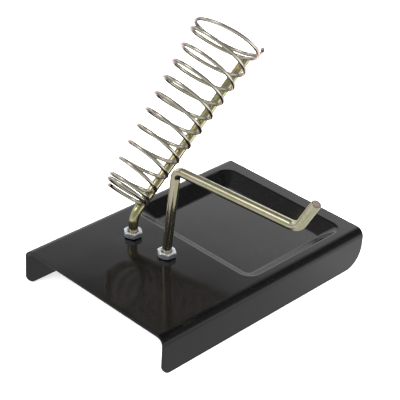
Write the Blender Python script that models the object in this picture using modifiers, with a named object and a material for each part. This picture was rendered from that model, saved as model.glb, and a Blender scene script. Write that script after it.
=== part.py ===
"""Soldering iron stand: a pressed steel base with a drawn tray, a leaning post that
carries a tapered wire coil, and a bent rest rod. Both rods are clamped by hexagon nuts.

Frame: +X runs along the base towards the tray, +Y across it towards the post, +Z is up.
Everything is laid out from the centre of the base. The last step slides it all along Y,
so that the origin ends up on the table under the centre of the whole outline.
"""

from math import cos, exp, pi, radians, sin, tan

import bmesh
import bpy
from mathutils import Matrix, Vector

MM = 0.001
UP = Vector((0.0, 0.0, 1.0))

# Base pressing
BASE_LENGTH = 133.0 * MM
BASE_WIDTH = 91.0 * MM
BASE_HEIGHT = 19.4 * MM
SHEET = 1.2 * MM
FOLD_RADIUS = 4.4 * MM
NEAR_CORNER = 5.0 * MM
FAR_CORNER = 10.5 * MM

# Tray, drawn into the far half of the plate
TRAY_X = (-7.0 * MM, 60.0 * MM)
TRAY_HALF_WIDTH = 39.0 * MM
TRAY_CORNER = 7.0 * MM
TRAY_FLOOR_CORNER = 3.0 * MM
TRAY_DEPTH = 5.0 * MM
RIM_RADIUS = 2.5 * MM
FLOOR_FILLET = 2.5 * MM
WALL_ANGLE = radians(35)
ARC_STEPS = 6

# Rods and their feet
ROD_RADIUS = 2.25 * MM
ROD_HOLE_RADIUS = 2.75 * MM
ROD_CHAMFER = 0.4 * MM
FEET_X = -21.6 * MM
POST_Y = 21.95 * MM
REST_Y = -0.6 * MM
FOOT_BELOW_PLATE = 4.6 * MM

# Thin M5 hexagon nuts
NUT_FLATS = 8.0 * MM
NUT_HEIGHT = 2.7 * MM
NUT_BORE_RADIUS = 2.55 * MM
NUT_CHAMFER = radians(30)
NUT_FACE_RADIUS = 3.88 * MM
NUT_TURN = radians(236)
GAP = 0.3 * MM

# Post
POST_CORNER_HEIGHT = 30.2 * MM
POST_SLOPE = radians(38.57)
POST_TURN = radians(1.8)
POST_BEND = 9.0 * MM
POST_SLANT_LENGTH = 92.5 * MM

# Coil: pitch steps are (turn at which the pitch takes over, pitch)
WIRE_RADIUS = 0.9 * MM
COIL_TURNS = 12.46
COIL_START = 4.6 * MM
COIL_SMALL_RADIUS = 10.1 * MM
COIL_TAPER = 0.0763
COIL_TILT = radians(-3.7)
COIL_PHASE = radians(278)
PITCH_STEPS = ((0.0, 2.1 * MM), (1.915, 8.5 * MM), (11.576, -16.3 * MM), (11.842, 9.2 * MM))
PITCH_BLEND = 0.08
RING_START = 11.02
RING_SHIFT = 4.45 * MM
FLARE = 0.4 * MM
FLARE_TURNS = 0.23
STEPS_PER_TURN = 24

# Rest rod
REST_LEAN_HEIGHT = 24.0 * MM
REST_LEAN = Vector((1.5 * MM, -1.7 * MM, 0.0))
REST_ARM_HEIGHT = 64.5 * MM
REST_ARM_LENGTH = 66.6 * MM
REST_ARM_TURN = radians(4.2)
REST_ARM_BEND = 4.2 * MM
REST_TIP_BEND = 6.2 * MM
REST_TIP_LENGTH = 16.8 * MM
REST_TIP_RISE = radians(62.6)


def clear_scene():
    for item in list(bpy.data.objects):
        bpy.data.objects.remove(item, do_unlink=True)


def new_collection(name):
    collection = bpy.data.collections.new(name)
    bpy.context.scene.collection.children.link(collection)
    return collection


def new_material(name, colour, metallic, roughness):
    material = bpy.data.materials.new(name)
    material.use_nodes = True
    shader = material.node_tree.nodes["Principled BSDF"]
    shader.inputs["Base Color"].default_value = (*colour, 1.0)
    shader.inputs["Metallic"].default_value = metallic
    shader.inputs["Roughness"].default_value = roughness
    return material


def add_object(name, mesh, origin, collection):
    """Link a mesh made in world coordinates and put the object's origin where asked."""
    mesh.transform(Matrix.Translation(-origin))
    item = bpy.data.objects.new(name, mesh)
    item.location = origin
    collection.objects.link(item)
    return item


def finish_object(item, colour, metallic, roughness, edge_angle):
    item.data.materials.append(new_material(item.name, colour, metallic, roughness))
    item.data.shade_smooth()
    item.data.set_sharp_from_angle(angle=radians(edge_angle))


def mesh_from_bmesh(name, builder):
    mesh = bpy.data.meshes.new(name)
    builder.to_mesh(mesh)
    builder.free()
    return mesh


def add_cutter(name, mesh, origin, collection):
    cutter = add_object(name, mesh, origin, collection)
    cutter.hide_render = True
    cutter.display_type = "WIRE"
    return cutter


def add_boolean(item, cutter, operation):
    modifier = item.modifiers.new(cutter.name, "BOOLEAN")
    modifier.operation = operation
    modifier.solver = "EXACT"
    modifier.object = cutter


def cylinder_mesh(name, radius, bottom, top, sides, turn=0.0):
    builder = bmesh.new()
    place = Matrix.Translation(UP * (bottom + top) / 2) @ Matrix.Rotation(turn, 4, "Z")
    bmesh.ops.create_cone(
        builder,
        cap_ends=True,
        segments=sides,
        radius1=radius,
        radius2=radius,
        depth=top - bottom,
        matrix=place,
    )
    return mesh_from_bmesh(name, builder)


def rounded_path(corners, bends, step_angle=radians(9)):
    """Corner points joined by straight runs, each inner corner replaced by an arc."""
    path = [corners[0]]
    for before, corner, after, bend in zip(corners, corners[1:], corners[2:], bends):
        arriving = (corner - before).normalized()
        leaving = (after - corner).normalized()
        turn = arriving.angle(leaving)
        start = corner - arriving * bend * tan(turn / 2)
        inward = (leaving - arriving * leaving.dot(arriving)).normalized()
        steps = max(3, round(turn / step_angle))
        for index in range(steps + 1):
            angle = turn * index / steps
            path.append(start + arriving * bend * sin(angle) + inward * bend * (1 - cos(angle)))
    path.append(corners[-1])
    return path


def chamfered_ends(path, size, radius):
    """Add a point close to each end and shrink the end itself: (point, radius factor)."""
    first = (path[1] - path[0]).normalized()
    last = (path[-1] - path[-2]).normalized()
    inner = [path[0] + first * size] + path[1:-1] + [path[-1] - last * size]
    small = 1 - size / radius
    return [(path[0], small)] + [(point, 1.0) for point in inner] + [(path[-1], small)]


def tube_mesh(name, stations, radius, resolution):
    curve = bpy.data.curves.new(name, "CURVE")
    curve.dimensions = "3D"
    curve.bevel_depth = radius
    curve.bevel_resolution = resolution
    curve.use_fill_caps = True
    spline = curve.splines.new("POLY")
    spline.points.add(len(stations) - 1)
    for point, (place, factor) in zip(spline.points, stations):
        point.co = (*place, 1.0)
        point.radius = factor
    item = bpy.data.objects.new(name, curve)
    bpy.context.scene.collection.objects.link(item)
    bpy.context.view_layer.update()
    mesh = bpy.data.meshes.new_from_object(item.evaluated_get(bpy.context.evaluated_depsgraph_get()))
    mesh.transform(item.matrix_world)
    bpy.data.objects.remove(item, do_unlink=True)
    bpy.data.curves.remove(curve)
    mesh.materials.clear()
    builder = bmesh.new()
    builder.from_mesh(mesh)
    bmesh.ops.remove_doubles(builder, verts=builder.verts, dist=0.001 * MM)
    bmesh.ops.recalc_face_normals(builder, faces=builder.faces)
    builder.to_mesh(mesh)
    builder.free()
    mesh.name = name
    return mesh


def tray_ring(inset, height):
    """One rounded rectangle of the tray, shrunk by the inset."""
    low = TRAY_X[0] + inset
    high = TRAY_X[1] - inset
    half = TRAY_HALF_WIDTH - inset
    drop = (BASE_HEIGHT - height) / TRAY_DEPTH
    corner = TRAY_CORNER + (TRAY_FLOOR_CORNER - TRAY_CORNER) * drop
    centres = (
        (high - corner, half - corner),
        (low + corner, half - corner),
        (low + corner, corner - half),
        (high - corner, corner - half),
    )
    ring = []
    for quarter, (x, y) in enumerate(centres):
        for index in range(ARC_STEPS + 1):
            angle = (quarter + index / ARC_STEPS) * pi / 2
            ring.append(Vector((x + corner * cos(angle), y + corner * sin(angle), height)))
    return ring


def tray_section():
    """(inset, drop) from the plate over the rim, down the wall and round to the floor."""
    section = []
    for index in range(ARC_STEPS + 1):
        angle = WALL_ANGLE * index / ARC_STEPS
        section.append((RIM_RADIUS * sin(angle), RIM_RADIUS * (1 - cos(angle))))
    floor_drop = TRAY_DEPTH - FLOOR_FILLET * (1 - cos(WALL_ANGLE))
    wall_run = (floor_drop - section[-1][1]) / tan(WALL_ANGLE)
    fillet_start = section[-1][0] + wall_run
    for index in range(ARC_STEPS + 1):
        angle = WALL_ANGLE * (1 - index / ARC_STEPS)
        inset = fillet_start + FLOOR_FILLET * (sin(WALL_ANGLE) - sin(angle))
        section.append((inset, TRAY_DEPTH - FLOOR_FILLET * (1 - cos(angle))))
    return section


def flange_outline():
    """(x, z) points of one side face, from its top -X corner down and round to +X."""
    half = BASE_LENGTH / 2
    points = [(-half, BASE_HEIGHT - FOLD_RADIUS)]
    for index in range(ARC_STEPS + 1):
        angle = pi / 2 * index / ARC_STEPS
        x = NEAR_CORNER * (1 - cos(angle)) - half
        points.append((x, NEAR_CORNER * (1 - sin(angle))))
    for index in range(ARC_STEPS + 1):
        angle = pi / 2 * index / ARC_STEPS
        x = half - FAR_CORNER * (1 - sin(angle))
        points.append((x, FAR_CORNER * (1 - cos(angle))))
    points.append((half, BASE_HEIGHT - FOLD_RADIUS))
    return points


def add_flange(builder, side, top_pair):
    """Fold strips and side face on one long side, joined to the plate's edge vertices."""
    edge = BASE_WIDTH / 2 - FOLD_RADIUS
    previous = top_pair
    for index in range(1, ARC_STEPS + 1):
        angle = pi / 2 * index / ARC_STEPS
        y = side * (edge + FOLD_RADIUS * sin(angle))
        z = BASE_HEIGHT - FOLD_RADIUS * (1 - cos(angle))
        pair = [builder.verts.new((vert.co.x, y, z)) for vert in previous]
        builder.faces.new((previous[0], previous[1], pair[1], pair[0]))
        previous = pair
    outline = flange_outline()[1:-1]
    lower = [builder.verts.new((x, side * BASE_WIDTH / 2, z)) for x, z in outline]
    builder.faces.new([previous[0]] + lower + [previous[1]])


def base_surface():
    """Upper and outer skin of the pressing, one open surface."""
    builder = bmesh.new()
    half = BASE_LENGTH / 2
    edge = BASE_WIDTH / 2 - FOLD_RADIUS
    corners = ((-half, -edge), (half, -edge), (half, edge), (-half, edge))
    plate = [builder.verts.new((x, y, BASE_HEIGHT)) for x, y in corners]
    rings = []
    for inset, drop in tray_section():
        ring = tray_ring(inset, BASE_HEIGHT - drop)
        rings.append([builder.verts.new(point) for point in ring])
    border = []
    for loop in (plate, rings[0]):
        for first, second in zip(loop, loop[1:] + loop[:1]):
            border.append(builder.edges.new((first, second)))
    bmesh.ops.triangle_fill(builder, use_beauty=True, edges=border, normal=UP)
    for upper, lower in zip(rings, rings[1:]):
        for index in range(len(upper)):
            after = (index + 1) % len(upper)
            builder.faces.new((upper[index], upper[after], lower[after], lower[index]))
    builder.faces.new(rings[-1])
    add_flange(builder, -1, [plate[0], plate[1]])
    add_flange(builder, 1, [plate[3], plate[2]])
    bmesh.ops.recalc_face_normals(builder, faces=builder.faces)
    floor = max(builder.faces, key=lambda face: face.calc_area() * (face.normal.z ** 2 > 0.99))
    if floor.normal.z < 0:
        bmesh.ops.reverse_faces(builder, faces=builder.faces)
    return mesh_from_bmesh("base_plate", builder)


def add_base(parts, cutters):
    base = add_object("base_plate", base_surface(), Vector(), parts)
    thickness = base.modifiers.new("Sheet", "SOLIDIFY")
    thickness.thickness = SHEET
    thickness.offset = -1.0
    thickness.use_even_offset = True
    for name, y in (("holder", POST_Y), ("rest", REST_Y)):
        hole = cylinder_mesh(name + "_hole", ROD_HOLE_RADIUS, -3 * SHEET, 2 * SHEET, 24)
        place = Vector((FEET_X, y, BASE_HEIGHT))
        hole.transform(Matrix.Translation(place))
        add_boolean(base, add_cutter(name + "_hole", hole, place, cutters), "DIFFERENCE")
    finish_object(base, (0.012, 0.012, 0.013), 0.0, 0.28, 32)


def chamfer_mesh(name):
    """Turned envelope of a nut: the cone on each face takes the six corners off."""
    half = NUT_HEIGHT / 2
    face_radius = NUT_FACE_RADIUS
    rim_radius = NUT_FLATS / cos(pi / 6) / 2 + GAP
    drop = (rim_radius - face_radius) * tan(NUT_CHAMFER)
    profile = (
        (0.0, half),
        (face_radius, half),
        (rim_radius, half - drop),
        (rim_radius, drop - half),
        (face_radius, -half),
        (0.0, -half),
    )
    mesh = bpy.data.meshes.new(name)
    vertices = [(radius, 0.0, height) for radius, height in profile]
    edges = [(index, index + 1) for index in range(len(vertices) - 1)]
    mesh.from_pydata(vertices, edges, [])
    item = bpy.data.objects.new(name, mesh)
    bpy.context.scene.collection.objects.link(item)
    screw = item.modifiers.new("Turn", "SCREW")
    screw.axis = "Z"
    screw.steps = 36
    screw.render_steps = 36
    screw.use_merge_vertices = True
    screw.merge_threshold = 0.01 * MM
    bpy.context.view_layer.update()
    turned = bpy.data.meshes.new_from_object(item.evaluated_get(bpy.context.evaluated_depsgraph_get()))
    bpy.data.objects.remove(item, do_unlink=True)
    builder = bmesh.new()
    builder.from_mesh(turned)
    bmesh.ops.recalc_face_normals(builder, faces=builder.faces)
    builder.to_mesh(turned)
    builder.free()
    return turned


def add_nut(name, foot_y, centre_height, parts, cutters):
    origin = Vector((FEET_X, foot_y, centre_height))
    lift = Matrix.Translation(origin)
    reach = NUT_HEIGHT / 2
    hexagon = cylinder_mesh(name, NUT_FLATS / 2 / cos(pi / 6), -reach, reach, 6, NUT_TURN - pi / 2)
    hexagon.transform(lift)
    nut = add_object(name, hexagon, origin, parts)
    envelope = chamfer_mesh(name + "_chamfer")
    envelope.transform(lift)
    add_boolean(nut, add_cutter(name + "_chamfer", envelope, origin, cutters), "INTERSECT")
    bore = cylinder_mesh(name + "_bore", NUT_BORE_RADIUS, -2 * reach, 2 * reach, 32)
    bore.transform(lift)
    add_boolean(nut, add_cutter(name + "_bore", bore, origin, cutters), "DIFFERENCE")
    finish_object(nut, (0.62, 0.66, 0.70), 1.0, 0.25, 25)


def post_slant():
    """Corner of the post, direction of its slant and the side the coil is fixed on."""
    corner = Vector((FEET_X, POST_Y, POST_CORNER_HEIGHT))
    level = Vector((cos(POST_TURN), sin(POST_TURN), 0.0))
    along = level * cos(POST_SLOPE) + UP * sin(POST_SLOPE)
    above = (UP - along * along.z).normalized()
    side = along.cross(above)
    return corner, along, above * cos(COIL_TILT) + side * sin(COIL_TILT)


def add_post(parts):
    corner, along, _ = post_slant()
    foot = Vector((FEET_X, POST_Y, BASE_HEIGHT - SHEET - FOOT_BELOW_PLATE))
    path = rounded_path([foot, corner, corner + along * POST_SLANT_LENGTH], [POST_BEND])
    stations = chamfered_ends(path, ROD_CHAMFER, ROD_RADIUS)
    mesh = tube_mesh("holder_post", stations, ROD_RADIUS, 6)
    post = add_object("holder_post", mesh, Vector((FEET_X, POST_Y, BASE_HEIGHT)), parts)
    finish_object(post, (0.62, 0.58, 0.30), 1.0, 0.3, 35)
    return post


def smooth_step(value):
    return 1 / (1 + exp(-max(-50.0, min(50.0, value))))


def coil_pitch(turn):
    pitch = PITCH_STEPS[0][1]
    for (_, before), (start, after) in zip(PITCH_STEPS, PITCH_STEPS[1:]):
        pitch += (after - before) * smooth_step((turn - start) / PITCH_BLEND)
    return pitch


def coil_path():
    """Centreline of the tapered coil; its turns touch the post's upper side along a line."""
    corner, along, toward = post_slant()
    across = along.cross(toward)
    axis = (along + toward * COIL_TAPER).normalized()
    first = (toward - axis * toward.dot(axis)).normalized()
    second = axis.cross(first)
    steps = round(COIL_TURNS * STEPS_PER_TURN)
    advance = 0.0
    path = []
    for index in range(steps + 1):
        turn = COIL_TURNS * index / steps
        if index:
            middle = turn - COIL_TURNS / steps / 2
            advance += coil_pitch(middle) * COIL_TURNS / steps
        radius = COIL_SMALL_RADIUS + COIL_TAPER * advance
        ring = smooth_step((turn - RING_START) / PITCH_BLEND)
        clearance = ROD_RADIUS + WIRE_RADIUS + GAP
        centre = corner + along * (COIL_START + advance) + toward * (radius + clearance)
        centre += (toward + across) * RING_SHIFT * ring
        angle = COIL_PHASE - 2 * pi * turn
        radius += FLARE * max(0.0, 1 - (COIL_TURNS - turn) / FLARE_TURNS) ** 2
        path.append(centre + first * radius * cos(angle) + second * radius * sin(angle))
    return path


def add_coil(parts, post):
    stations = [(point, 1.0) for point in coil_path()]
    mesh = tube_mesh("holder_coil", stations, WIRE_RADIUS, 2)
    coil = add_object("holder_coil", mesh, post.location.copy(), parts)
    finish_object(coil, (0.66, 0.62, 0.34), 1.0, 0.32, 60)


def add_rest(parts):
    foot = Vector((FEET_X, REST_Y, BASE_HEIGHT - SHEET - FOOT_BELOW_PLATE))
    knee = Vector((FEET_X, REST_Y, REST_LEAN_HEIGHT))
    shoulder = Vector((FEET_X, REST_Y, REST_ARM_HEIGHT)) + REST_LEAN
    level = Vector((sin(REST_ARM_TURN), -cos(REST_ARM_TURN), 0.0))
    elbow = shoulder + level * REST_ARM_LENGTH
    tip = elbow + (level * cos(REST_TIP_RISE) + UP * sin(REST_TIP_RISE)) * REST_TIP_LENGTH
    bends = [REST_TIP_BEND, REST_ARM_BEND, REST_TIP_BEND]
    path = rounded_path([foot, knee, shoulder, elbow, tip], bends)
    stations = chamfered_ends(path, ROD_CHAMFER, ROD_RADIUS)
    mesh = tube_mesh("rest_rod", stations, ROD_RADIUS, 6)
    rod = add_object("rest_rod", mesh, Vector((FEET_X, REST_Y, BASE_HEIGHT)), parts)
    finish_object(rod, (0.62, 0.58, 0.30), 1.0, 0.3, 35)
    return rod


def centre_on_outline(items, rest):
    """Slide everything along Y: the base is the outline's high side and the rest's tip its low side."""
    reach = min(vertex.co.y for vertex in rest.data.vertices) + rest.location.y
    for item in items:
        item.location.y -= (reach + BASE_WIDTH / 2) / 2


def main():
    clear_scene()
    parts = new_collection("soldering_iron_stand")
    cutters = new_collection("cutters")
    add_base(parts, cutters)
    add_coil(parts, add_post(parts))
    rest = add_rest(parts)
    above = BASE_HEIGHT + GAP + NUT_HEIGHT / 2
    below = BASE_HEIGHT - SHEET - GAP - NUT_HEIGHT / 2
    for name, y in (("holder", POST_Y), ("rest", REST_Y)):
        add_nut(name + "_upper_nut", y, above, parts, cutters)
        add_nut(name + "_lower_nut", y, below, parts, cutters)
    centre_on_outline(list(parts.objects) + list(cutters.objects), rest)


main()
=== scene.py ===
"""Looks of the soldering iron stand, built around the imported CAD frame."""

from math import cos, exp, pi, radians, sin, tan

import bmesh
import bpy
from mathutils import Matrix, Vector


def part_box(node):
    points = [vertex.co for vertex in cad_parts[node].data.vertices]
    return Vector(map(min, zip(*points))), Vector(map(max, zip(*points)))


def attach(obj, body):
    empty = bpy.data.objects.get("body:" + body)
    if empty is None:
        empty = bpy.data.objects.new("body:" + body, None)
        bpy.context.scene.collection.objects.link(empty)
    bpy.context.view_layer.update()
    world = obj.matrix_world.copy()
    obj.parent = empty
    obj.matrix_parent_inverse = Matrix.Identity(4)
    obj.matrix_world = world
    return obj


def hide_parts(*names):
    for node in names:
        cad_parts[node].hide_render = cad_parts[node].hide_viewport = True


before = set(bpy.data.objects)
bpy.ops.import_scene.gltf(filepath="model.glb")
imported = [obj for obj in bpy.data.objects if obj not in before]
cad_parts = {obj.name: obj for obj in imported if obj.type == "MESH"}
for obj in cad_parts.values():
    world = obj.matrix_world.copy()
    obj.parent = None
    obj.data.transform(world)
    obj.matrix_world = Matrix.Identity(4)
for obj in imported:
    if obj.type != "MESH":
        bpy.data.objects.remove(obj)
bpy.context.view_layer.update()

MM = 0.001
UP = Vector((0.0, 0.0, 1.0))

# Places taken from the frame
base_low, base_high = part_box("base_plate")
BASE_CENTRE = Vector(((base_low.x + base_high.x) / 2, (base_low.y + base_high.y) / 2, 0.0))
BASE_LENGTH = base_high.x - base_low.x
BASE_WIDTH = base_high.y - base_low.y
BASE_HEIGHT = base_high.z


def box_centre(node):
    low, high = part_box(node)
    return (low + high) / 2


def foot_of(nut):
    centre = box_centre(nut)
    return Vector((centre.x, centre.y, 0.0))


POST_FOOT = foot_of("holder_upper_nut")
REST_FOOT = foot_of("rest_upper_nut")
ROD_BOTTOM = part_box("holder_post")[0].z

# Base pressing
SHEET = 1.2 * MM
FOLD_RADIUS = 4.4 * MM
NEAR_CORNER = 5.0 * MM
FAR_CORNER = 10.5 * MM
TRAY_X = (-7.0 * MM, 60.0 * MM)
TRAY_HALF_WIDTH = 39.0 * MM
TRAY_CORNER = 7.0 * MM
TRAY_FLOOR_CORNER = 3.0 * MM
TRAY_DEPTH = 5.0 * MM
RIM_RADIUS = 2.5 * MM
FLOOR_FILLET = 2.5 * MM
WALL_ANGLE = radians(35)
ARC_STEPS = 14
ROD_HOLE_RADIUS = 2.75 * MM
EDGE_ROUND = 0.16 * MM
# How far the tray floor's colour is painted lighter, towards white
TRAY_FLOOR_LIFT = 0.007

# Rods
ROD_RADIUS = 2.25 * MM
ROD_SIDES = 40
THREAD_PITCH = 0.8 * MM
THREAD_CREST = 2.43 * MM
THREAD_ROOT = 2.05 * MM
THREAD_ABOVE_PLATE = 3.6 * MM
THREAD_STEPS = 8
END_ROUND = 0.35 * MM

# Post and coil, the same driving values as the CAD
POST_CORNER_HEIGHT = 30.2 * MM
POST_SLOPE = radians(38.57)
POST_TURN = radians(1.8)
POST_BEND = 9.0 * MM
POST_SLANT_LENGTH = 92.5 * MM
WIRE_RADIUS = 0.9 * MM
WIRE_SIDES = 14
WIRE_END_ROUND = 0.12 * MM
# Reach of the near-black colour painted at each end of the wire
END_DARK_REACH = 4 * MM
COIL_TURNS = 12.46
COIL_START = 4.6 * MM
COIL_SMALL_RADIUS = 10.1 * MM
COIL_TAPER = 0.0763
COIL_TILT = radians(-3.7)
COIL_PHASE = radians(278)
PITCH_STEPS = ((0.0, 2.1 * MM), (1.915, 8.5 * MM), (11.576, -16.3 * MM), (11.842, 9.2 * MM))
PITCH_BLEND = 0.08
RING_START = 11.02
RING_SHIFT = 4.45 * MM
FLARE = 0.4 * MM
FLARE_TURNS = 0.23
STEPS_PER_TURN = 72
GAP = 0.3 * MM
WELD_SIZE = (1.0 * MM, 0.62 * MM, 0.5 * MM)
WELD_SPACING = 3 * WIRE_RADIUS
WELD_SEGMENTS = 16
WELD_RINGS = 10

# Rest rod
REST_LEAN_HEIGHT = 24.0 * MM
REST_LEAN = Vector((1.5 * MM, -1.7 * MM, 0.0))
REST_ARM_HEIGHT = 64.5 * MM
REST_ARM_LENGTH = 66.6 * MM
REST_ARM_TURN = radians(4.2)
REST_ARM_BEND = 4.2 * MM
REST_TIP_BEND = 6.2 * MM
REST_TIP_LENGTH = 16.8 * MM
REST_TIP_RISE = radians(62.6)

# Nuts
NUT_FLATS = 8.0 * MM
NUT_BORE_RADIUS = 2.5 * MM
NUT_SINK_RADIUS = 2.95 * MM
NUT_FACE_RADIUS = 3.8 * MM
NUT_CHAMFER = radians(30)
NUT_TURN = radians(236)
NUT_STEPS = 144
NUT_EDGE = 0.09 * MM

# Camera, placed from the centre of the base
CAMERA_PLACE = Vector((-383.6, -353.0, 350.9)) * MM
CAMERA_YAW = radians(42.70)
CAMERA_PITCH = radians(-30.78)
CAMERA_ROLL = radians(3.80)
LENS = 119.24
SENSOR = 36.0

# Studio: directions are (azimuth, height) in degrees from the base
FLOOR_SIZE = 6.0
FLOOR_DROP = 0.05 * MM
LOOK_AT_HEIGHT = 0.04
KEY_DIRECTION = (146, 48)
KEY_DISTANCE = 1.3
KEY_SIZE = 0.9
KEY_POWER = 30.0
TOP_DIRECTION = (-60, 70)
TOP_DISTANCE = 1.5
TOP_SIZE = 1.6
TOP_POWER = 40.0
MIRRORED_BOX = (152, 50)
MIRRORED_BOX_BRIGHTNESS = 1.8
CEILING = (88, 60)
BACKDROP = (20, 0)
BACKDROP_BRIGHTNESS = 1.38


# ---------------------------------------------------------------- directions


def direction_of(azimuth, elevation):
    """Unit vector from angles in degrees."""
    level = Vector((cos(radians(azimuth)), sin(radians(azimuth)), 0.0))
    return level * cos(radians(elevation)) + UP * sin(radians(elevation))


def camera_axes():
    """Right, up and forward of the camera."""
    forward = Vector(
        (cos(CAMERA_YAW) * cos(CAMERA_PITCH), sin(CAMERA_YAW) * cos(CAMERA_PITCH), sin(CAMERA_PITCH))
    )
    right = forward.cross(UP).normalized()
    above = right.cross(forward)
    rolled_right = right * cos(CAMERA_ROLL) + above * sin(CAMERA_ROLL)
    rolled_up = above * cos(CAMERA_ROLL) - right * sin(CAMERA_ROLL)
    return rolled_right, rolled_up, forward


# ---------------------------------------------------------------- node helpers


def new_material(name):
    material = bpy.data.materials.new(name)
    material.use_nodes = True
    tree = material.node_tree
    return material, tree, tree.nodes["Principled BSDF"]


def add_node(tree, kind):
    return tree.nodes.new(kind)


def link(tree, source, target):
    tree.links.new(source, target)


def noise(tree, vector, scale, detail=4.0, roughness=0.5, distortion=0.0):
    node = add_node(tree, "ShaderNodeTexNoise")
    node.inputs["Scale"].default_value = scale
    node.inputs["Detail"].default_value = detail
    node.inputs["Roughness"].default_value = roughness
    node.inputs["Distortion"].default_value = distortion
    link(tree, vector, node.inputs["Vector"])
    return node.outputs["Fac"]


def ramp(tree, factor, stops):
    """stops are (position, grey) or (position, (r, g, b))."""
    node = add_node(tree, "ShaderNodeValToRGB")
    band = node.color_ramp
    while len(band.elements) < len(stops):
        band.elements.new(1.0)
    for element, (position, value) in zip(band.elements, stops):
        element.position = position
        colour = (value, value, value) if isinstance(value, (int, float)) else value
        element.color = (*colour, 1.0)
    link(tree, factor, node.inputs["Fac"])
    return node.outputs["Color"]


def mapped(tree, vector, scale):
    node = add_node(tree, "ShaderNodeMapping")
    node.inputs["Scale"].default_value = scale
    link(tree, vector, node.inputs["Vector"])
    return node.outputs["Vector"]


def math_node(tree, operation, first, second, third=0.5):
    node = add_node(tree, "ShaderNodeMath")
    node.operation = operation
    for socket, value in zip(node.inputs, (first, second, third)):
        if isinstance(value, (int, float)):
            socket.default_value = value
        else:
            link(tree, value, socket)
    return node.outputs["Value"]


def vector_number(tree, operation, place, fixed):
    """A number worked out from a place or direction and a fixed vector."""
    node = add_node(tree, "ShaderNodeVectorMath")
    node.operation = operation
    link(tree, place, node.inputs[0])
    node.inputs[1].default_value = fixed
    return node.outputs["Value"]


def toward(tree, direction, axis):
    """How far a direction or place reaches along an axis."""
    return vector_number(tree, "DOT_PRODUCT", direction, axis)


def mix_colour(tree, factor, first, second, blend="MIX"):
    node = add_node(tree, "ShaderNodeMix")
    node.data_type = "RGBA"
    node.blend_type = blend
    for socket, value in ((node.inputs[0], factor), (node.inputs[6], first), (node.inputs[7], second)):
        if isinstance(value, (int, float)):
            socket.default_value = value
        elif isinstance(value, tuple):
            socket.default_value = (*value, 1.0)
        else:
            link(tree, value, socket)
    return node.outputs[2]


def bump(tree, height, distance, strength, below=None):
    node = add_node(tree, "ShaderNodeBump")
    node.inputs["Distance"].default_value = distance
    node.inputs["Strength"].default_value = strength
    link(tree, height, node.inputs["Height"])
    if below is not None:
        link(tree, below, node.inputs["Normal"])
    return node.outputs["Normal"]


# ---------------------------------------------------------------- materials


def in_tray(tree, place):
    """1 on the floor of the tray, whose colour is painted a little lighter."""
    parts = add_node(tree, "ShaderNodeSeparateXYZ")
    link(tree, place, parts.inputs[0])
    offset = math_node(tree, "SUBTRACT", parts.outputs["Y"], BASE_CENTRE.y)
    aside = math_node(tree, "ABSOLUTE", offset, 0.0)
    between = math_node(tree, "LESS_THAN", aside, TRAY_HALF_WIDTH)
    low = math_node(tree, "LESS_THAN", parts.outputs["Z"], BASE_HEIGHT - TRAY_DEPTH * 0.96)
    return math_node(tree, "MULTIPLY", between, low)


def black_paint():
    """Satin to gloss stove enamel: fine orange peel, faint waviness, dust and rubbed edges."""
    material, tree, shader = new_material("black_paint")
    place = add_node(tree, "ShaderNodeTexCoord").outputs["Object"]
    wave = noise(tree, place, 22.0, 2.0)
    peel = noise(tree, place, 900.0, 3.0)
    grain = noise(tree, place, 5200.0, 2.0)
    blotch = noise(tree, place, 60.0, 5.0, 0.6)
    dust = ramp(tree, noise(tree, place, 3300.0, 1.0), ((0.70, 0.0), (0.76, 1.0)))
    shade = ramp(tree, blotch, ((0.3, (0.0009, 0.0009, 0.0010)), (0.7, (0.0018, 0.0017, 0.0017))))
    shade = mix_colour(tree, math_node(tree, "MULTIPLY", dust, 0.18), shade, (0.25, 0.25, 0.25))
    pointiness = add_node(tree, "ShaderNodeNewGeometry").outputs["Pointiness"]
    edges = ramp(tree, pointiness, ((0.56, 0.0), (0.66, 1.0)))
    worn = math_node(tree, "MULTIPLY", edges, ramp(tree, blotch, ((0.45, 0.0), (0.7, 0.35))))
    shade = mix_colour(tree, worn, shade, (0.10, 0.10, 0.10))
    # The tray floor is painted a little lighter than the rest of the plate.
    tray_floor_lift = math_node(tree, "MULTIPLY", in_tray(tree, place), TRAY_FLOOR_LIFT)
    shade = mix_colour(tree, tray_floor_lift, shade, (1.0, 1.0, 1.0))
    link(tree, shade, shader.inputs["Base Color"])
    rough = ramp(tree, noise(tree, place, 140.0, 6.0, 0.65), ((0.25, 0.10), (0.8, 0.15)))
    link(tree, rough, shader.inputs["Roughness"])
    shader.inputs["IOR"].default_value = 1.5
    normal = bump(tree, wave, 0.4 * MM, 0.25)
    normal = bump(tree, peel, 0.02 * MM, 0.25, normal)
    normal = bump(tree, grain, 0.004 * MM, 0.3, normal)
    link(tree, normal, shader.inputs["Normal"])
    return material


def offset_along(tree, place, origin, axis):
    """Distance of a place from the origin, measured along an axis."""
    return math_node(tree, "SUBTRACT", toward(tree, place, axis), origin.dot(axis))


def turn_ends(tree, place):
    """1 where a turn of the coil reaches furthest to either side across the camera's view, where a pink
    tint is painted.
    """
    corner = POST_FOOT + UP * POST_CORNER_HEIGHT
    along, up_side = post_slant()
    sideways = along.cross(camera_axes()[2]).normalized()
    advance = offset_along(tree, place, corner, along)
    radius = math_node(tree, "MULTIPLY_ADD", advance, COIL_TAPER, COIL_SMALL_RADIUS)
    lean = up_side.dot(sideways)
    middle = math_node(tree, "MULTIPLY_ADD", radius, lean, (ROD_RADIUS + WIRE_RADIUS) * lean)
    offset = math_node(tree, "SUBTRACT", offset_along(tree, place, corner, sideways), middle)
    reach = math_node(tree, "DIVIDE", math_node(tree, "ABSOLUTE", offset, 0.0), radius)
    return ramp(tree, reach, ((0.86, 0.0), (0.99, 1.0)))


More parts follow.
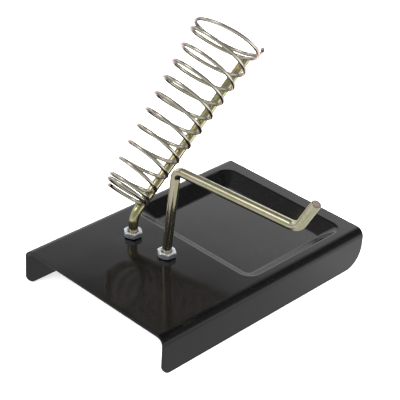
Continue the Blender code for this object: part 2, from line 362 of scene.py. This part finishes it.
def cut_ends(tree, place):
    """1 over the last two millimetres at each end of the wire, which are painted near black."""
    path = coil_path()
    gaps = []
    for end in (path[0], path[-1]):
        gaps.append(vector_number(tree, "DISTANCE", place, end))
    nearest = math_node(tree, "MULTIPLY", math_node(tree, "MINIMUM", gaps[0], gaps[1]), 1 / END_DARK_REACH)
    return ramp(tree, nearest, ((0.35, 1.0), (0.55, 0.0)))


def film_colour(tree, place, gold):
    """Patches of tan, grey and green film with pink clouds, under more or less yellow."""
    patches = noise(tree, place, 170.0, 3.0, 0.55, 0.6)
    film = ramp(
        tree,
        patches,
        (
            (0.28, (0.60, 0.53, 0.41)),
            (0.40, (0.67, 0.61, 0.49)),
            (0.50, (0.64, 0.61, 0.45)),
            (0.60, (0.55, 0.56, 0.36)),
            (0.72, (0.66, 0.62, 0.48)),
        ),
    )
    pink = ramp(tree, noise(tree, place, 95.0, 2.0), ((0.52, 0.0), (0.68, 0.6)))
    film = mix_colour(tree, pink, film, (0.74, 0.58, 0.52))
    tint = noise(tree, place, 60.0, 2.0)
    yellow = ramp(tree, tint, ((0.35, (0.92, 0.75, 0.36)), (0.65, (0.78, 0.78, 0.32))))
    return mix_colour(tree, gold, film, yellow)


def yellow_zinc(name, streak_length, gold, edge, polish, coiled=False):
    """Yellow chromate over zinc: gold, green and pink patches on drawn steel, with painted shade at
    grazing angles.

    gold is how strong the yellow of the film is, edge how far painted shade darkens it at grazing angles,
    polish how far handling has brightened it.
    """
    material, tree, shader = new_material(name)
    coordinates = add_node(tree, "ShaderNodeTexCoord")
    along = coordinates.outputs["UV"]
    place = coordinates.outputs["Object"]
    streaks = noise(tree, mapped(tree, along, (streak_length, 26.0, 1.0)), 1.0, 4.0, 0.6)
    colour = film_colour(tree, place, gold)
    dirt = ramp(tree, streaks, ((0.30, 0.55), (0.47, 0.0)))
    colour = mix_colour(tree, dirt, colour, (0.16, 0.14, 0.05))
    # Painted shade: the colour darkens towards grazing angles as the camera sees the surface.
    glance = add_node(tree, "ShaderNodeLayerWeight")
    glance.inputs["Blend"].default_value = 0.5
    rim = ramp(tree, glance.outputs["Facing"], ((0.3, 1.0), (0.62, 1.0 - edge)))
    colour = mix_colour(tree, polish, colour, (1.0, 0.97, 0.86))
    colour = mix_colour(tree, 1.0, colour, rim, "MULTIPLY")
    if coiled:
        # Pink tint painted where the turns form the coil's outline as the camera sees it.
        colour = mix_colour(tree, turn_ends(tree, place), colour, (0.95, 0.72, 0.68))
        # The ends of the wire are painted near black.
        colour = mix_colour(tree, cut_ends(tree, place), colour, (0.02, 0.02, 0.02))
    link(tree, colour, shader.inputs["Base Color"])
    shader.inputs["Metallic"].default_value = 1.0
    rough = ramp(tree, streaks, ((0.2, 0.08), (0.52, 0.12), (0.68, 0.42)))
    link(tree, rough, shader.inputs["Roughness"])
    drawn = noise(tree, mapped(tree, along, (streak_length * 0.6, 90.0, 1.0)), 1.0, 2.0)
    normal = bump(tree, drawn, 0.02 * MM, 0.35)
    normal = bump(tree, noise(tree, place, 1400.0, 3.0), 0.012 * MM, 0.4, normal)
    link(tree, normal, shader.inputs["Normal"])
    return material


def cut_steel():
    """Sheared rod end: tan, matt and torn across."""
    material, tree, shader = new_material("cut_steel")
    place = add_node(tree, "ShaderNodeTexCoord").outputs["Object"]
    grains = noise(tree, place, 900.0, 4.0)
    shade = ramp(tree, grains, ((0.3, (0.28, 0.22, 0.18)), (0.7, (0.46, 0.38, 0.32))))
    link(tree, shade, shader.inputs["Base Color"])
    shader.inputs["Metallic"].default_value = 0.8
    shader.inputs["Roughness"].default_value = 0.5
    tears = noise(tree, mapped(tree, place, (1.0, 1.0, 6.0)), 700.0, 4.0)
    link(tree, bump(tree, tears, 0.06 * MM, 0.5), shader.inputs["Normal"])
    return material


def bright_zinc():
    """Blue-white bright zinc on the nuts, with fine machining lines and small dull patches."""
    material, tree, shader = new_material("bright_zinc")
    place = add_node(tree, "ShaderNodeTexCoord").outputs["Object"]
    patches = noise(tree, place, 520.0, 4.0)
    shade = ramp(tree, patches, ((0.3, (0.66, 0.71, 0.79)), (0.7, (0.86, 0.88, 0.91))))
    link(tree, shade, shader.inputs["Base Color"])
    shader.inputs["Metallic"].default_value = 0.88
    rough = ramp(tree, noise(tree, place, 1500.0, 3.0), ((0.3, 0.22), (0.7, 0.40)))
    link(tree, rough, shader.inputs["Roughness"])
    lines = noise(tree, mapped(tree, place, (1.0, 1.0, 14.0)), 900.0, 3.0)
    link(tree, bump(tree, lines, 0.02 * MM, 0.35), shader.inputs["Normal"])
    return material


# ---------------------------------------------------------------- mesh helpers


def make_object(name, mesh, materials):
    item = bpy.data.objects.new(name, mesh)
    bpy.context.scene.collection.objects.link(item)
    for material in materials:
        mesh.materials.append(material)
    return item


def finished(builder, name):
    """Turn a bmesh into a mesh and let go of it."""
    mesh = bpy.data.meshes.new(name)
    builder.to_mesh(mesh)
    builder.free()
    return mesh


def smooth(mesh, angle):
    mesh.shade_smooth()
    mesh.set_sharp_from_angle(angle=radians(angle))


def rounded_path(corners, bends, step_angle=radians(3)):
    path = [corners[0]]
    for before, corner, after, bend in zip(corners, corners[1:], corners[2:], bends):
        arriving = (corner - before).normalized()
        leaving = (after - corner).normalized()
        turn = arriving.angle(leaving)
        start = corner - arriving * bend * tan(turn / 2)
        inward = (leaving - arriving * leaving.dot(arriving)).normalized()
        steps = max(3, round(turn / step_angle))
        for index in range(steps + 1):
            angle = turn * index / steps
            path.append(start + arriving * bend * sin(angle) + inward * bend * (1 - cos(angle)))
    path.append(corners[-1])
    return path


def fine_start(path, length, step):
    """Divide the first straight run of a path finely, so that a thread can be cut on it."""
    first = path[0]
    along = (path[1] - path[0]).normalized()
    count = round(length / step)
    return [first + along * length * index / count for index in range(count + 1)] + path[1:]


def sweep(name, path, sides, radius_at, materials, rounding):
    """Closed tube along a path, with rounded and capped ends. radius_at(distance, angle) is its radius."""
    first = (path[1] - path[0]).normalized()
    last = (path[-1] - path[-2]).normalized()
    ease = [0.0, 0.3, 0.7, 1.0]
    head = [path[0] + first * rounding * (1 - cos(step * pi / 2)) for step in ease]
    tail = [path[-1] - last * rounding * (1 - cos(step * pi / 2)) for step in reversed(ease)]
    shrink = [rounding * (1 - sin(step * pi / 2)) for step in ease]
    points = head + path[1:-1] + tail
    trims = shrink + [0.0] * (len(path) - 2) + shrink[::-1]
    builder = bmesh.new()
    layer = builder.loops.layers.uv.new("UVMap")
    side = first.orthogonal().normalized()
    rings = []
    distance = 0.0
    for index, (point, trim) in enumerate(zip(points, trims)):
        before = points[max(index - 1, 0)]
        after = points[min(index + 1, len(points) - 1)]
        distance += (point - before).length
        along = (after - before).normalized()
        side = (side - along * side.dot(along)).normalized()
        over = along.cross(side)
        ring = []
        for step in range(sides):
            angle = 2 * pi * step / sides
            radius = radius_at(distance, angle) - trim
            place = point + side * radius * cos(angle) + over * radius * sin(angle)
            ring.append(builder.verts.new(place))
        rings.append((ring, distance))
    for (lower, start), (upper, end) in zip(rings, rings[1:]):
        for step in range(sides):
            after = (step + 1) % sides
            face = builder.faces.new((lower[step], lower[after], upper[after], upper[step]))
            corners = ((start, step), (start, step + 1), (end, step + 1), (end, step))
            for loop, (place, turn) in zip(face.loops, corners):
                loop[layer].uv = (place / (10 * MM), turn / sides)
    for ring, _ in (rings[0], rings[-1]):
        builder.faces.new(ring).material_index = 1
    bmesh.ops.recalc_face_normals(builder, faces=builder.faces)
    mesh = finished(builder, name)
    item = make_object(name, mesh, materials)
    smooth(mesh, 45)
    return item


def thread_radius(length):
    """Radius of a rod whose first stretch carries a rolled thread."""

    def radius_at(distance, angle):
        if distance > length:
            return ROD_RADIUS
        phase = (distance / THREAD_PITCH - angle / (2 * pi)) % 1.0
        ridge = 0.5 + 0.5 * cos(2 * pi * phase)
        runout = min(1.0, (length - distance) / THREAD_PITCH)
        shape = THREAD_ROOT + (THREAD_CREST - THREAD_ROOT) * ridge ** 0.8
        return ROD_RADIUS + (shape - ROD_RADIUS) * runout

    return radius_at


# ---------------------------------------------------------------- base


def tray_ring(inset, height):
    """Rounded rectangle inside the tray's rim; its corners get tighter towards the floor."""
    low = TRAY_X[0] + inset
    high = TRAY_X[1] - inset
    half = TRAY_HALF_WIDTH - inset
    corner = TRAY_CORNER + (TRAY_FLOOR_CORNER - TRAY_CORNER) * (BASE_HEIGHT - height) / TRAY_DEPTH
    centres = (
        (high - corner, half - corner),
        (low + corner, half - corner),
        (low + corner, corner - half),
        (high - corner, corner - half),
    )
    ring = []
    for quarter, (x, y) in enumerate(centres):
        for index in range(ARC_STEPS + 1):
            angle = (quarter + index / ARC_STEPS) * pi / 2
            ring.append(Vector((x + corner * cos(angle), y + corner * sin(angle), height)))
    return ring


def tray_section():
    """Steps of (inset, drop) from the plate over the rim and down the wall to the floor."""
    section = []
    for index in range(ARC_STEPS + 1):
        angle = WALL_ANGLE * index / ARC_STEPS
        section.append((RIM_RADIUS * sin(angle), RIM_RADIUS * (1 - cos(angle))))
    floor_drop = TRAY_DEPTH - FLOOR_FILLET * (1 - cos(WALL_ANGLE))
    fillet_start = section[-1][0] + (floor_drop - section[-1][1]) / tan(WALL_ANGLE)
    for index in range(ARC_STEPS + 1):
        angle = WALL_ANGLE * (1 - index / ARC_STEPS)
        inset = fillet_start + FLOOR_FILLET * (sin(WALL_ANGLE) - sin(angle))
        section.append((inset, TRAY_DEPTH - FLOOR_FILLET * (1 - cos(angle))))
    return section


def flange_outline():
    """Outline of a flange as (x, z), with a small rounded corner near the rods and a large one beyond."""
    half = BASE_LENGTH / 2
    points = [(-half, BASE_HEIGHT - FOLD_RADIUS)]
    for index in range(ARC_STEPS + 1):
        angle = pi / 2 * index / ARC_STEPS
        points.append((NEAR_CORNER * (1 - cos(angle)) - half, NEAR_CORNER * (1 - sin(angle))))
    for index in range(ARC_STEPS + 1):
        angle = pi / 2 * index / ARC_STEPS
        points.append((half - FAR_CORNER * (1 - sin(angle)), FAR_CORNER * (1 - cos(angle))))
    points.append((half, BASE_HEIGHT - FOLD_RADIUS))
    return points


def add_flange(builder, side, top_pair):
    """Fold the plate's long edge down and close the flange under it. side is -1 or 1."""
    edge = BASE_WIDTH / 2 - FOLD_RADIUS
    previous = top_pair
    for index in range(1, ARC_STEPS + 1):
        angle = pi / 2 * index / ARC_STEPS
        y = side * (edge + FOLD_RADIUS * sin(angle))
        z = BASE_HEIGHT - FOLD_RADIUS * (1 - cos(angle))
        pair = [builder.verts.new((vert.co.x, y, z)) for vert in previous]
        builder.faces.new((previous[0], previous[1], pair[1], pair[0]))
        previous = pair
    lower = [builder.verts.new((x, side * BASE_WIDTH / 2, z)) for x, z in flange_outline()[1:-1]]
    builder.faces.new([previous[0]] + lower + [previous[1]])


def base_surface():
    """Upper surface of the pressing, without thickness."""
    builder = bmesh.new()
    half = BASE_LENGTH / 2
    edge = BASE_WIDTH / 2 - FOLD_RADIUS
    corners = ((-half, -edge), (half, -edge), (half, edge), (-half, edge))
    plate = [builder.verts.new((x, y, BASE_HEIGHT)) for x, y in corners]
    rings = []
    for inset, drop in tray_section():
        rings.append([builder.verts.new(point) for point in tray_ring(inset, BASE_HEIGHT - drop)])
    border = []
    for loop in (plate, rings[0]):
        for first, second in zip(loop, loop[1:] + loop[:1]):
            border.append(builder.edges.new((first, second)))
    bmesh.ops.triangle_fill(builder, use_beauty=True, edges=border, normal=UP)
    for upper, lower in zip(rings, rings[1:]):
        for index in range(len(upper)):
            after = (index + 1) % len(upper)
            builder.faces.new((upper[index], upper[after], lower[after], lower[index]))
    builder.faces.new(rings[-1])
    add_flange(builder, -1, [plate[0], plate[1]])
    add_flange(builder, 1, [plate[3], plate[2]])
    bmesh.ops.recalc_face_normals(builder, faces=builder.faces)
    floor = max(builder.faces, key=lambda face: face.calc_area() * (face.normal.z ** 2 > 0.99))
    if floor.normal.z < 0:
        bmesh.ops.reverse_faces(builder, faces=builder.faces)
    mesh = finished(builder, "base_shell")
    mesh.transform(Matrix.Translation(BASE_CENTRE))
    return mesh


def apply_modifiers(item):
    """Replace an object's mesh by its evaluated one."""
    bpy.context.view_layer.update()
    shaped = item.evaluated_get(bpy.context.evaluated_depsgraph_get())
    mesh = bpy.data.meshes.new_from_object(shaped)
    item.modifiers.clear()
    item.data = mesh


def rod_hole(foot):
    """Round plug that cuts a rod's hole through the plate."""
    builder = bmesh.new()
    bmesh.ops.create_cone(
        builder,
        cap_ends=True,
        segments=48,
        radius1=ROD_HOLE_RADIUS,
        radius2=ROD_HOLE_RADIUS,
        depth=4 * SHEET,
        matrix=Matrix.Translation(foot + UP * BASE_HEIGHT),
    )
    return make_object("hole", finished(builder, "hole"), [])


def add_base(paint):
    shell = make_object("base_shell", base_surface(), [paint])
    thickness = shell.modifiers.new("Sheet", "SOLIDIFY")
    thickness.thickness = SHEET
    thickness.offset = -1.0
    thickness.use_even_offset = True
    rounding = shell.modifiers.new("Edges", "BEVEL")
    rounding.width = EDGE_ROUND
    rounding.segments = 3
    rounding.limit_method = "ANGLE"
    rounding.angle_limit = radians(50)
    cutters = []
    for foot in (POST_FOOT, REST_FOOT):
        cutter = rod_hole(foot)
        cut = shell.modifiers.new("Hole", "BOOLEAN")
        cut.operation = "DIFFERENCE"
        cut.solver = "EXACT"
        cut.object = cutter
        cutters.append(cutter)
    apply_modifiers(shell)
    for cutter in cutters:
        bpy.data.objects.remove(cutter, do_unlink=True)
    smooth(shell.data, 32)
    weight = shell.modifiers.new("Normals", "WEIGHTED_NORMAL")
    weight.keep_sharp = True
    weight.weight = 100
    apply_modifiers(shell)
    return shell


# ---------------------------------------------------------------- rods and coil


def threaded_rod(name, path, zinc, end):
    """A bent rod with a thread on its foot, which ends a little above the plate."""
    length = BASE_HEIGHT - ROD_BOTTOM + THREAD_ABOVE_PLATE
    path = fine_start(path, length, THREAD_PITCH / THREAD_STEPS)
    return sweep(name, path, ROD_SIDES, thread_radius(length), [zinc, end], END_ROUND)


def add_post(zinc, end):
    corner = POST_FOOT + UP * POST_CORNER_HEIGHT
    along, _ = post_slant()
    foot = POST_FOOT + UP * ROD_BOTTOM
    path = rounded_path([foot, corner, corner + along * POST_SLANT_LENGTH], [POST_BEND])
    return threaded_rod("post_rod", path, zinc, end)


def post_slant():
    """Direction of the leaning part of the post, and the side of it that carries the coil."""
    level = Vector((cos(POST_TURN), sin(POST_TURN), 0.0))
    along = level * cos(POST_SLOPE) + UP * sin(POST_SLOPE)
    above = (UP - along * along.z).normalized()
    side = along.cross(above)
    return along, above * cos(COIL_TILT) + side * sin(COIL_TILT)


def smooth_step(value):
    return 1 / (1 + exp(-max(-50.0, min(50.0, value))))


def coil_pitch(turn):
    """Advance per turn: closed at the bottom, open in the middle, closed again for the top ring."""
    pitch = PITCH_STEPS[0][1]
    for (_, before), (start, after) in zip(PITCH_STEPS, PITCH_STEPS[1:]):
        pitch += (after - before) * smooth_step((turn - start) / PITCH_BLEND)
    return pitch


def coil_path():
    """Centreline of the wire: a cone that touches the post, with a shifted ring and a flared end."""
    corner = POST_FOOT + UP * POST_CORNER_HEIGHT
    along, toward = post_slant()
    across = along.cross(toward)
    axis = (along + toward * COIL_TAPER).normalized()
    first = (toward - axis * toward.dot(axis)).normalized()
    second = axis.cross(first)
    steps = round(COIL_TURNS * STEPS_PER_TURN)
    advance = 0.0
    path = []
    for index in range(steps + 1):
        turn = COIL_TURNS * index / steps
        if index:
            middle = turn - COIL_TURNS / steps / 2
            advance += coil_pitch(middle) * COIL_TURNS / steps
        radius = COIL_SMALL_RADIUS + COIL_TAPER * advance
        ring = smooth_step((turn - RING_START) / PITCH_BLEND)
        clearance = ROD_RADIUS + WIRE_RADIUS + GAP
        centre = corner + along * (COIL_START + advance) + toward * (radius + clearance)
        centre += (toward + across) * RING_SHIFT * ring
        angle = COIL_PHASE - 2 * pi * turn
        radius += FLARE * max(0.0, 1 - (COIL_TURNS - turn) / FLARE_TURNS) ** 2
        path.append(centre + first * radius * cos(angle) + second * radius * sin(angle))
    return path


def wire_radius(distance, angle):
    return WIRE_RADIUS


def add_coil(zinc, end):
    return sweep("coil_wire", coil_path(), WIRE_SIDES, wire_radius, [zinc, end], WIRE_END_ROUND)


def rounded_nugget(builder, matrix):
    """Unit ball of rings of quads between two poles, squashed and placed by the matrix."""
    poles = [builder.verts.new(matrix @ Vector((0.0, 0.0, height))) for height in (1.0, -1.0)]
    rings = []
    for level in range(1, WELD_RINGS):
        slope = pi * level / WELD_RINGS
        ring = []
        for step in range(WELD_SEGMENTS):
            turn = 2 * pi * step / WELD_SEGMENTS
            point = Vector((sin(slope) * cos(turn), sin(slope) * sin(turn), cos(slope)))
            ring.append(builder.verts.new(matrix @ point))
        rings.append(ring)
    for step in range(WELD_SEGMENTS):
        after = (step + 1) % WELD_SEGMENTS
        builder.faces.new((poles[0], rings[0][step], rings[0][after]))
        builder.faces.new((poles[1], rings[-1][after], rings[-1][step]))
        for upper, lower in zip(rings, rings[1:]):
            builder.faces.new((upper[step], lower[step], lower[after], upper[after]))


def add_welds(zinc):
    """A small weld nugget wherever a turn of the coil meets the post."""
    corner = POST_FOOT + UP * POST_CORNER_HEIGHT
    along, toward = post_slant()
    path = coil_path()
    builder = bmesh.new()
    previous = None
    reach = ROD_RADIUS + WIRE_RADIUS + 2 * GAP
    for before, point, after in zip(path, path[1:], path[2:]):
        distances = []
        for place in (before, point, after):
            offset = place - corner
            distances.append((offset - along * offset.dot(along)).length)
        if distances[1] > reach or distances[1] > distances[0] or distances[1] > distances[2]:
            continue
        offset = point - corner
        centre = corner + along * offset.dot(along) + toward * (ROD_RADIUS + GAP / 2)
        if previous is not None and (centre - previous).length < WELD_SPACING:
            continue
        previous = centre
        tangent = (after - before).normalized()
        turn = Matrix((tangent, toward.cross(tangent), toward)).transposed().to_4x4()
        shape = Matrix.Diagonal((*WELD_SIZE, 1.0))
        place = Matrix.Translation(centre) @ turn @ shape
        rounded_nugget(builder, place)
    mesh = finished(builder, "weld_spots")
    smooth(mesh, 60)
    return make_object("weld_spots", mesh, [zinc])


def add_rest(zinc, end):
    foot = REST_FOOT + UP * ROD_BOTTOM
    knee = REST_FOOT + UP * REST_LEAN_HEIGHT
    shoulder = REST_FOOT + UP * REST_ARM_HEIGHT + REST_LEAN
    level = Vector((sin(REST_ARM_TURN), -cos(REST_ARM_TURN), 0.0))
    elbow = shoulder + level * REST_ARM_LENGTH
    tip = elbow + (level * cos(REST_TIP_RISE) + UP * sin(REST_TIP_RISE)) * REST_TIP_LENGTH
    bends = [REST_TIP_BEND, REST_ARM_BEND, REST_TIP_BEND]
    path = rounded_path([foot, knee, shoulder, elbow, tip], bends)
    return threaded_rod("rest_bar", path, zinc, end)


# ---------------------------------------------------------------- nuts


def nut_edge(angle):
    """Where a hexagon's side meets its chamfer: (rim, inner, inner_drop, drop) at an angle."""
    spread = (angle - NUT_TURN + pi / 6) % (pi / 3) - pi / 6
    rim = NUT_FLATS / 2 / cos(pi / 6 - abs(spread))
    drop = max(0.0, rim - NUT_FACE_RADIUS) * tan(NUT_CHAMFER)
    inner = max(NUT_FACE_RADIUS, rim - NUT_EDGE)
    inner_drop = (inner - NUT_FACE_RADIUS) * tan(NUT_CHAMFER)
    return rim, inner, inner_drop, drop + NUT_EDGE


def add_nut(node, zinc):
    """Hexagon nut on a polar grid: bore, countersink, face, chamfer cone and flats."""
    low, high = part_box(node)
    centre = (low + high) / 2
    half = (high.z - low.z) / 2
    sink = NUT_SINK_RADIUS - NUT_BORE_RADIUS
    builder = bmesh.new()
    columns = []
    for step in range(NUT_STEPS):
        angle = 2 * pi * step / NUT_STEPS
        rim, inner, inner_drop, drop = nut_edge(angle)
        halfway = (NUT_FACE_RADIUS + inner) / 2
        halfway_drop = inner_drop / 2
        profile = [
            (NUT_BORE_RADIUS, 0.0),
            (NUT_BORE_RADIUS, half - sink),
            (NUT_SINK_RADIUS - 0.03 * MM, half - 0.05 * MM),
            (NUT_SINK_RADIUS + 0.04 * MM, half),
            (NUT_FACE_RADIUS - 0.06 * MM, half),
            (NUT_FACE_RADIUS + 0.02 * MM, half - 0.01 * MM),
            (halfway, half - halfway_drop),
            (inner, half - inner_drop),
            (rim, half - drop),
        ]
        lower = [(radius, -height) for radius, height in reversed(profile[1:])]
        column = []
        for radius, height in profile + lower:
            column.append(builder.verts.new((radius * cos(angle), radius * sin(angle), height)))
        columns.append(column)
    for first, second in zip(columns, columns[1:] + columns[:1]):
        count = len(first)
        for index in range(count):
            after = (index + 1) % count
            builder.faces.new((first[index], second[index], second[after], first[after]))
    bmesh.ops.recalc_face_normals(builder, faces=builder.faces)
    mesh = finished(builder, node)
    mesh.transform(Matrix.Translation(centre))
    smooth(mesh, 22)
    return make_object(node + "_fine", mesh, [zinc])


# ---------------------------------------------------------------- studio


def add_floor():
    """Plain white floor that glows: to the camera it is lit and its emission lightens its shadows; to
    reflections it shows only a painted glow, a little darker, growing brighter towards +x.
    """
    size = FLOOR_SIZE
    mesh = bpy.data.meshes.new("floor")
    corners = [(-size, -size, 0.0), (size, -size, 0.0), (size, size, 0.0), (-size, size, 0.0)]
    mesh.from_pydata(corners, [], [(0, 1, 2, 3)])
    material, tree, shader = new_material("floor")
    shader.inputs["Base Color"].default_value = (0.9, 0.9, 0.9, 1.0)
    shader.inputs["Roughness"].default_value = 1.0
    shader.inputs["Specular IOR Level"].default_value = 0.0
    shader.inputs["Emission Color"].default_value = (1.0, 1.0, 1.0, 1.0)
    shader.inputs["Emission Strength"].default_value = 0.75
    # Painted glow seen only in reflections, brighter towards +x.
    glow = add_node(tree, "ShaderNodeEmission")
    place = add_node(tree, "ShaderNodeNewGeometry").outputs["Position"]
    across = math_node(tree, "MULTIPLY_ADD", toward(tree, place, Vector((5.0, 0.0, 0.0))), 1.0)
    strength = ramp(tree, across, ((0.35, 0.62), (0.55, 0.70), (0.675, 0.84), (0.80, 1.1)))
    link(tree, strength, glow.inputs["Strength"])
    seen = add_node(tree, "ShaderNodeLightPath")
    mix = add_node(tree, "ShaderNodeMixShader")
    link(tree, seen.outputs["Is Camera Ray"], mix.inputs[0])
    link(tree, glow.outputs[0], mix.inputs[1])
    link(tree, shader.outputs[0], mix.inputs[2])
    link(tree, mix.outputs[0], tree.nodes["Material Output"].inputs["Surface"])
    floor = make_object("floor", mesh, [material])
    floor.location.z = -FLOOR_DROP


def add_softbox(name, direction, distance, size, power):
    """Square area light aimed at the object, hidden from reflections: the world shows it there."""
    target = BASE_CENTRE + UP * LOOK_AT_HEIGHT
    place = target + direction_of(*direction) * distance
    light = bpy.data.lights.new(name, "AREA")
    light.shape = "RECTANGLE"
    light.size = size
    light.size_y = size
    light.energy = power
    item = bpy.data.objects.new(name, light)
    item.location = place
    item.rotation_euler = (target - place).to_track_quat("-Z", "Y").to_euler()
    item.visible_glossy = False
    bpy.context.scene.collection.objects.link(item)


def backdrop(tree, direction, height, span):
    """White paper and a tall panel behind the object, seen mostly in the black paint."""
    along = toward(tree, direction, Vector((1.0, 0.0, 0.0)))
    across = math_node(tree, "MULTIPLY_ADD", toward(tree, direction, Vector((0.0, 1.0, 0.0))), 0.5)
    paper = ramp(tree, height, ((0.50, 0.85), (0.537, 0.64), (0.554, 0.45), (0.565, 0.06), (0.60, 0.0)))
    panel = ramp(tree, along, ((0.595, 0.0), (0.632, 0.36), (0.652, 0.44), (0.67, 0.68), (0.71, 0.95)))
    reach = ramp(tree, across, ((0.36, 0.0), (0.39, 0.04), (0.485, 0.2), (0.585, 0.62), (0.69, 1.0)))
    light = math_node(tree, "MAXIMUM", paper, panel)
    light = math_node(tree, "MULTIPLY", light, math_node(tree, "MULTIPLY", reach, span))
    light = math_node(tree, "MULTIPLY", light, BACKDROP_BRIGHTNESS)
    low_stops = ((0.0, 0.8), (0.1, 0.7), (0.17, 0.42))
    high_stops = ((0.3, 0.16), (0.6, 0.12), (0.74, 0.10), (0.85, 0.0))
    horizon = ramp(tree, height, low_stops + high_stops)
    return math_node(tree, "MAXIMUM", light, math_node(tree, "MULTIPLY", horizon, span))


def mirrored_box(tree, direction):
    """The key softbox as it shows in the zinc, with soft edges."""
    key = toward(tree, direction, direction_of(*MIRRORED_BOX))
    edge_stops = ((0.925, 0.0), (0.945, 0.12), (0.96, 0.40), (0.975, 0.75), (0.987, 1.0))
    return math_node(tree, "MULTIPLY", ramp(tree, key, edge_stops), MIRRORED_BOX_BRIGHTNESS)


def add_world():
    """The surroundings: a white backdrop, one high softbox, a faint ceiling and a dim room in front."""
    world = bpy.data.worlds.new("studio")
    world.use_nodes = True
    bpy.context.scene.world = world
    tree = world.node_tree
    direction = add_node(tree, "ShaderNodeTexCoord").outputs["Generated"]
    height = toward(tree, direction, UP)
    behind = math_node(tree, "MULTIPLY_ADD", toward(tree, direction, direction_of(*BACKDROP)), 0.5)
    span = ramp(tree, behind, ((0.35, 0.15), (0.65, 1.0)))
    room = ramp(tree, behind, ((0.2, 0.24), (0.5, 0.19), (0.75, 0.03), (0.85, 0.0)))
    ceiling = ramp(tree, toward(tree, direction, direction_of(*CEILING)), ((0.90, 0.0), (0.97, 0.10)))
    total = backdrop(tree, direction, height, span)
    for light in (mirrored_box(tree, direction), room, ceiling):
        total = math_node(tree, "ADD", total, light)
    link(tree, total, tree.nodes["Background"].inputs["Color"])
    tree.nodes["Background"].inputs["Strength"].default_value = 1.0


def add_camera():
    right, above, forward = camera_axes()
    camera = bpy.data.cameras.new("camera")
    camera.lens = LENS
    camera.sensor_width = SENSOR
    item = bpy.data.objects.new("camera", camera)
    turn = Matrix((right, above, -forward)).transposed().to_4x4()
    item.matrix_world = Matrix.Translation(BASE_CENTRE + CAMERA_PLACE) @ turn
    bpy.context.scene.collection.objects.link(item)
    bpy.context.scene.camera = item


def stand_for(piece, node, body):
    """Let a piece replace a CAD node and ride on a body."""
    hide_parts(node)
    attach(piece, body)


def main():
    paint = black_paint()
    post_zinc = yellow_zinc("yellow_zinc_post", 0.35, 0.7, 0.7, 0.1)
    rest_zinc = yellow_zinc("yellow_zinc_rod", 0.35, 0.15, 0.3, 0.08)
    wire_zinc = yellow_zinc("yellow_zinc_wire", 0.5, 0.1, 0.95, 0.5, coiled=True)
    nut_zinc = bright_zinc()
    end = cut_steel()
    stand_for(add_base(paint), "base_plate", "base")
    stand_for(add_post(post_zinc, end), "holder_post", "holder")
    stand_for(add_coil(wire_zinc, end), "holder_coil", "holder")
    stand_for(add_rest(rest_zinc, end), "rest_rod", "rest")
    welds = add_welds(yellow_zinc("yellow_zinc_weld", 0.35, 0.9, 0.0, 0.2))
    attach(welds, "holder")
    for rod in ("holder", "rest"):
        for level, place in (("upper", "top"), ("lower", "bottom")):
            node = rod + "_" + level + "_nut"
            stand_for(add_nut(node, nut_zinc), node, rod + "_" + place + "_nut")
    add_floor()
    add_camera()
    add_world()
    add_softbox("key", KEY_DIRECTION, KEY_DISTANCE, KEY_SIZE, KEY_POWER)
    add_softbox("top", TOP_DIRECTION, TOP_DISTANCE, TOP_SIZE, TOP_POWER)
    bpy.context.scene.view_settings.view_transform = "Standard"


main()
